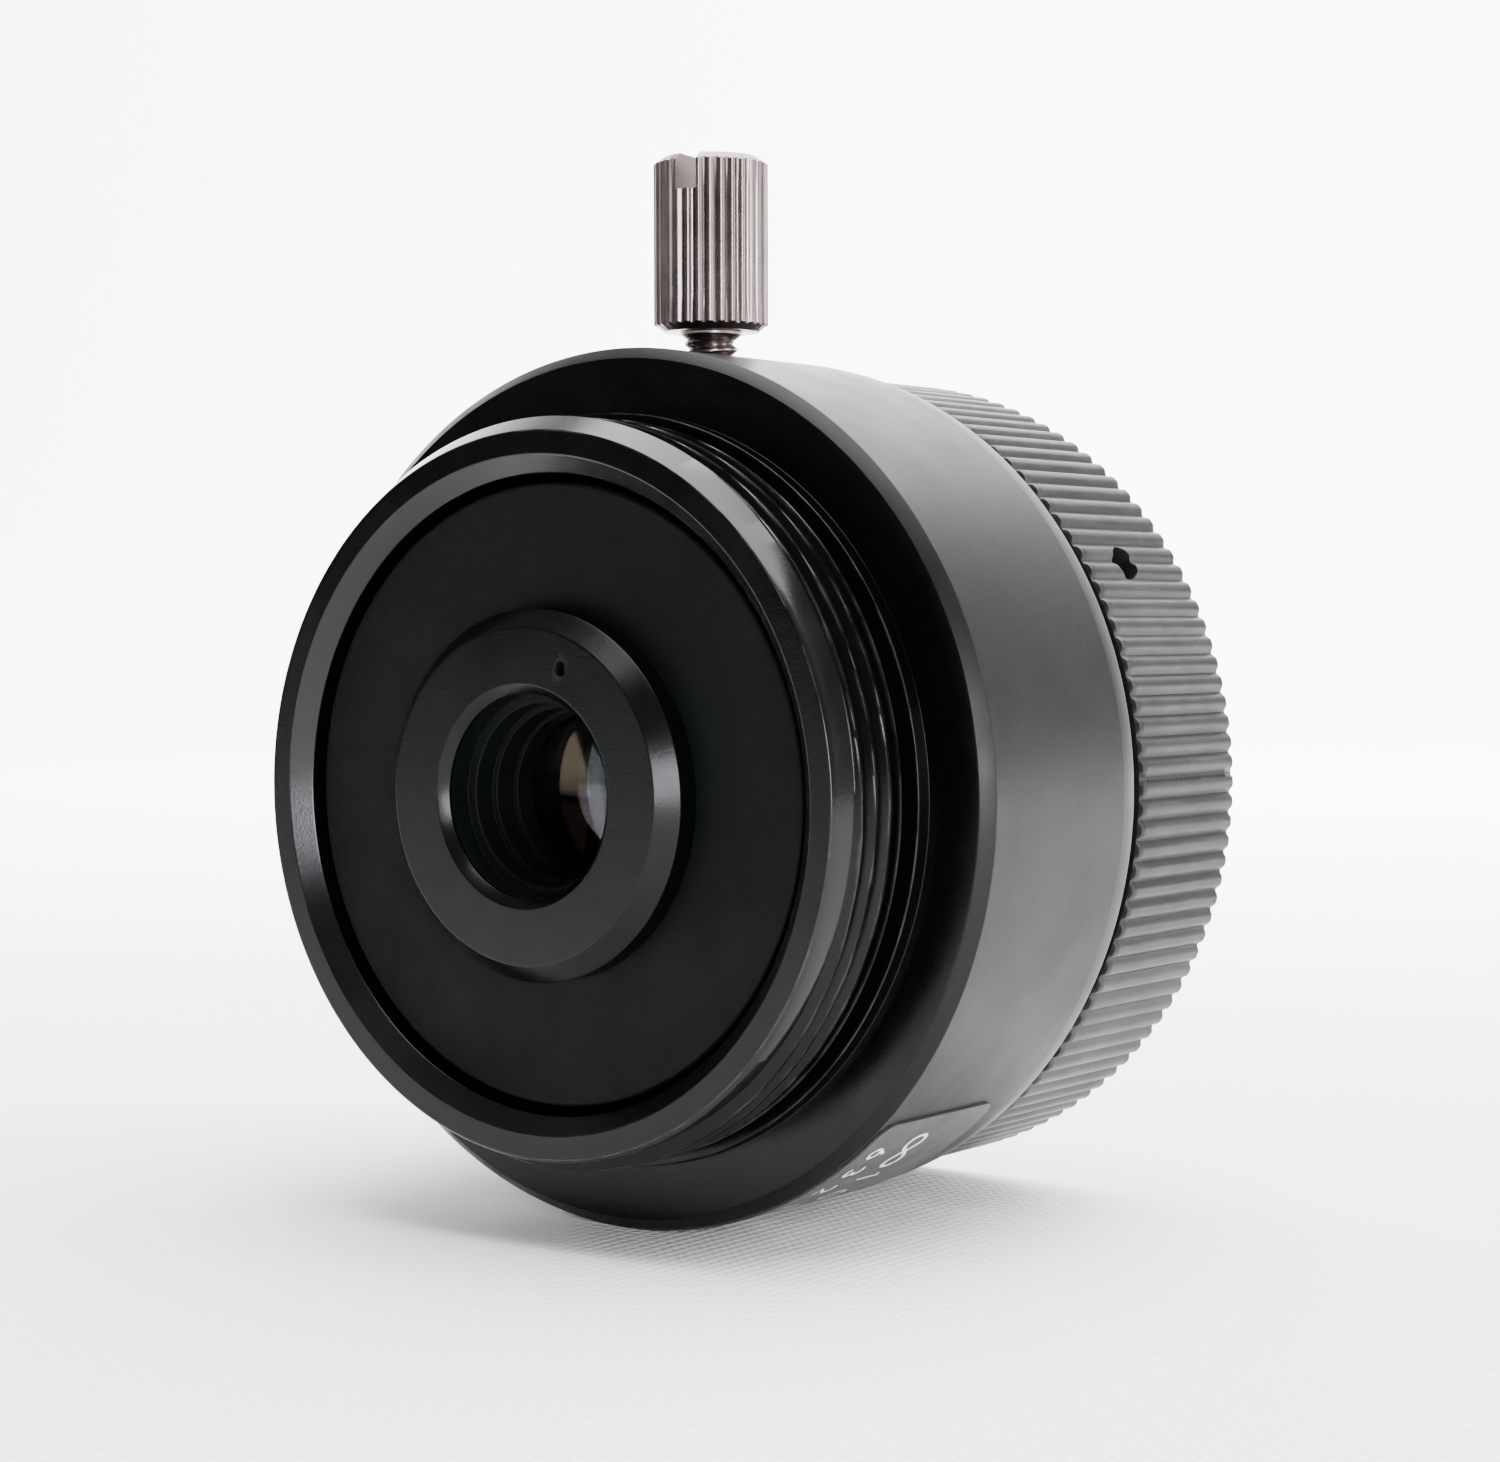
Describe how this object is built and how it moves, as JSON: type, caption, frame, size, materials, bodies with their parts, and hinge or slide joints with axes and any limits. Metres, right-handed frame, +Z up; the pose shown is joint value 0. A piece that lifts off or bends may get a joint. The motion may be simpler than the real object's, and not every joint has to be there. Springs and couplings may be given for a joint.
{
  "type": "camera lens",
  "caption": "Compact fixed-focus-length lens with a screw mount nose, a knurled focus ring that runs on a fine thread, and a knurled lock screw.",
  "frame": {"origin": "on the optical axis, in the plane of the mount's flange face", "axes": "+Y along the optical axis towards the front glass, the mount nose points to -Y, and +Z runs up through the lock screw"},
  "size_m": [0.0305, 0.0221, 0.0377],
  "materials": {
    "anodised": "satin black anodised",
    "matte_black": "matte black anodised",
    "nickel": "bright nickel plate",
    "steel": "oil-black steel",
    "nylon": "moulded nylon",
    "mask_film": "black film",
    "glass": "polished, coated green and magenta",
    "label": "black film with white marks"
  },
  "bodies": {
    "barrel": {"barrel": "anodised", "scale_label": "label"},
    "optics": {"front_lens": "glass", "second_lens": "glass", "front_spacer": "matte_black", "third_lens": "glass", "middle_spacer": "matte_black", "aperture_stop": "matte_black", "crown_lens": "glass", "flint_lens": "glass", "rear_spacer": "matte_black", "light_mask": "mask_film", "rear_lens": "glass"},
    "focus": {"lens_cell": "matte_black", "focus_ring": "anodised", "focus_set_screws": "steel", "rear_retainer": "matte_black", "front_retainer": "matte_black", "name_ring": "matte_black"},
    "lock_tip": {"lock_pad": "nylon"},
    "lock": {"lock_screw": "nickel"}
  },
  "joints": [
    {"name": "focus_travel", "type": "slide", "parent": "barrel", "child": "optics", "axis": [0, 1, 0], "range_m": [-0.000375, 0.0005]},
    {"name": "focus_turn", "type": "hinge", "parent": "optics", "child": "focus", "pos_m": [0, 0.005, 0], "axis": [0, 1, 0], "range_deg": [-271, 361]},
    {"name": "lock_travel", "type": "slide", "parent": "barrel", "child": "lock_tip", "axis": [0, 0, 1], "range_m": [0, 0.0008]},
    {"name": "lock_turn", "type": "hinge", "parent": "lock_tip", "child": "lock", "pos_m": [0, 0.0055, 0.016], "axis": [0, 0, 1], "range_deg": [0, 721]}
  ],
  "couplings": [
    {"joint": "focus_turn", "follows": "focus_travel", "rad_per_m": 12566},
    {"joint": "lock_turn", "follows": "lock_travel", "rad_per_m": 15708}
  ]
}
